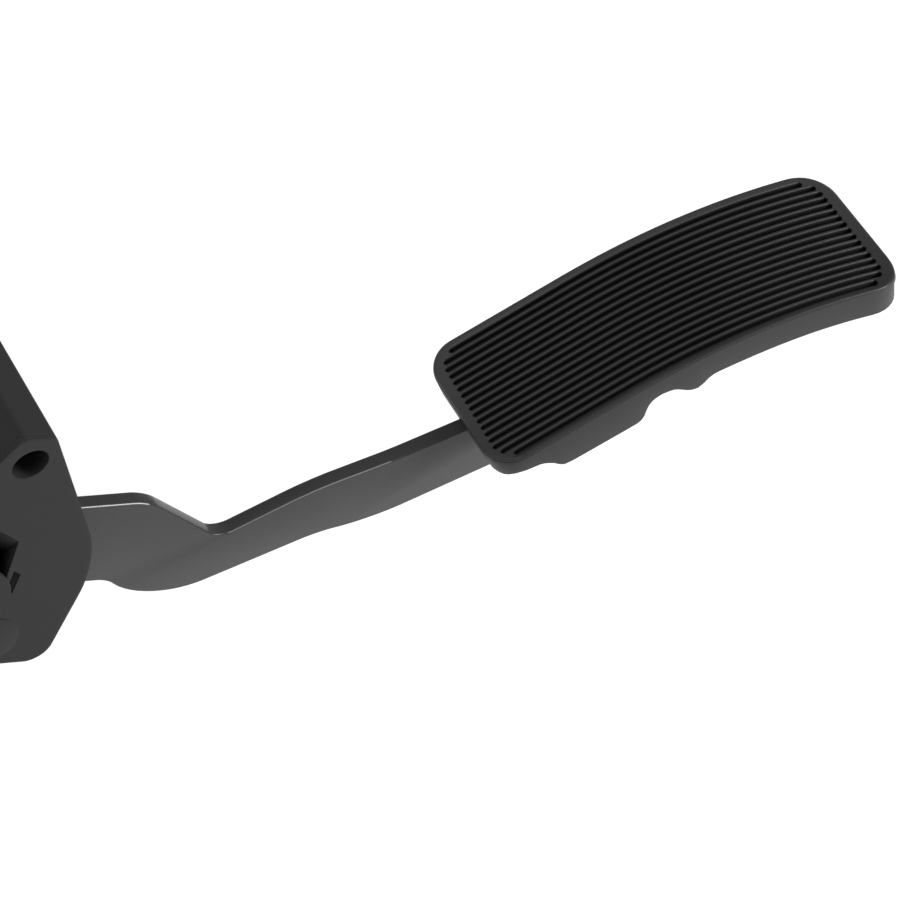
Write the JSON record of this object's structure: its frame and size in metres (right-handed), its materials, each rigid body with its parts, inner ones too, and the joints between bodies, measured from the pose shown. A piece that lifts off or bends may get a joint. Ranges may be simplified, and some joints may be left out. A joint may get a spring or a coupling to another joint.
{
  "type": "accelerator pedal",
  "caption": "Floor-hinge accelerator pedal module: ribbed rubber pad on a bent steel arm that pivots in a plastic housing with return springs and a position sensor.",
  "frame": {"origin": "on the mounting face of the housing, straight below the pedal's pivot, midway between the side walls", "axes": "+X from the housing towards the pad, +Y along the pivot away from the cover, +Z out of the mounting face"},
  "size_m": [0.4026, 0.07, 0.1642],
  "materials": {
    "housing_plastic": "fine-grained satin black moulding",
    "carrier_plastic": "fine-grained satin dark grey moulding",
    "lever_plastic": "glass-filled grey moulding",
    "natural_plastic": "natural acetal",
    "sensor_plastic": "smooth black moulding",
    "coated_steel": "satin dip-coated steel",
    "bright_steel": "ground shaft",
    "zinc_steel": "bright zinc plating",
    "spring_steel": "oiled spring wire",
    "bush_bronze": "sintered bronze",
    "contact_brass": "tin-flashed contact",
    "friction_lining": "brown lining",
    "magnet": "bonded magnet",
    "circuit_board": "green board",
    "stop_rubber": "plain rubber",
    "seal_rubber": "smooth seal",
    "tread_rubber": "matt black ribbed rubber"
  },
  "bodies": {
    "housing": {"housing": "housing_plastic", "side_cover": "housing_plastic", "cover_screws": "zinc_steel", "pivot_cap": "housing_plastic", "bush_near": "bush_bronze", "bush_far": "bush_bronze", "friction_lever": "lever_plastic", "brake_pad": "friction_lining", "outer_spring": "spring_steel", "inner_spring": "spring_steel", "idle_stop": "stop_rubber", "full_stop": "stop_rubber", "sensor_body": "sensor_plastic", "sensor_cover": "sensor_plastic", "sensor_board": "circuit_board", "connector_pins": "contact_brass", "sensor_screws": "zinc_steel", "sensor_seal": "seal_rubber", "mount_sleeves": "zinc_steel"},
    "pedal": {"pivot_shaft": "bright_steel", "hub": "housing_plastic", "arm": "coated_steel", "hub_rivets": "zinc_steel", "spring_cup": "natural_plastic", "sensor_rotor": "natural_plastic", "rotor_magnet": "magnet", "pad_carrier": "carrier_plastic", "pad_cover": "tread_rubber", "pad_screws": "zinc_steel"}
  },
  "joints": [
    {"name": "pedal_pivot", "type": "hinge", "parent": "housing", "child": "pedal", "pos_m": [0, 0, 0.032], "axis": [0, 1, 0], "range_deg": [0, 16], "stiffness_Nm_per_rad": 15, "springref_deg": -21.37, "deforming": ["outer_spring", "inner_spring"]}
  ]
}
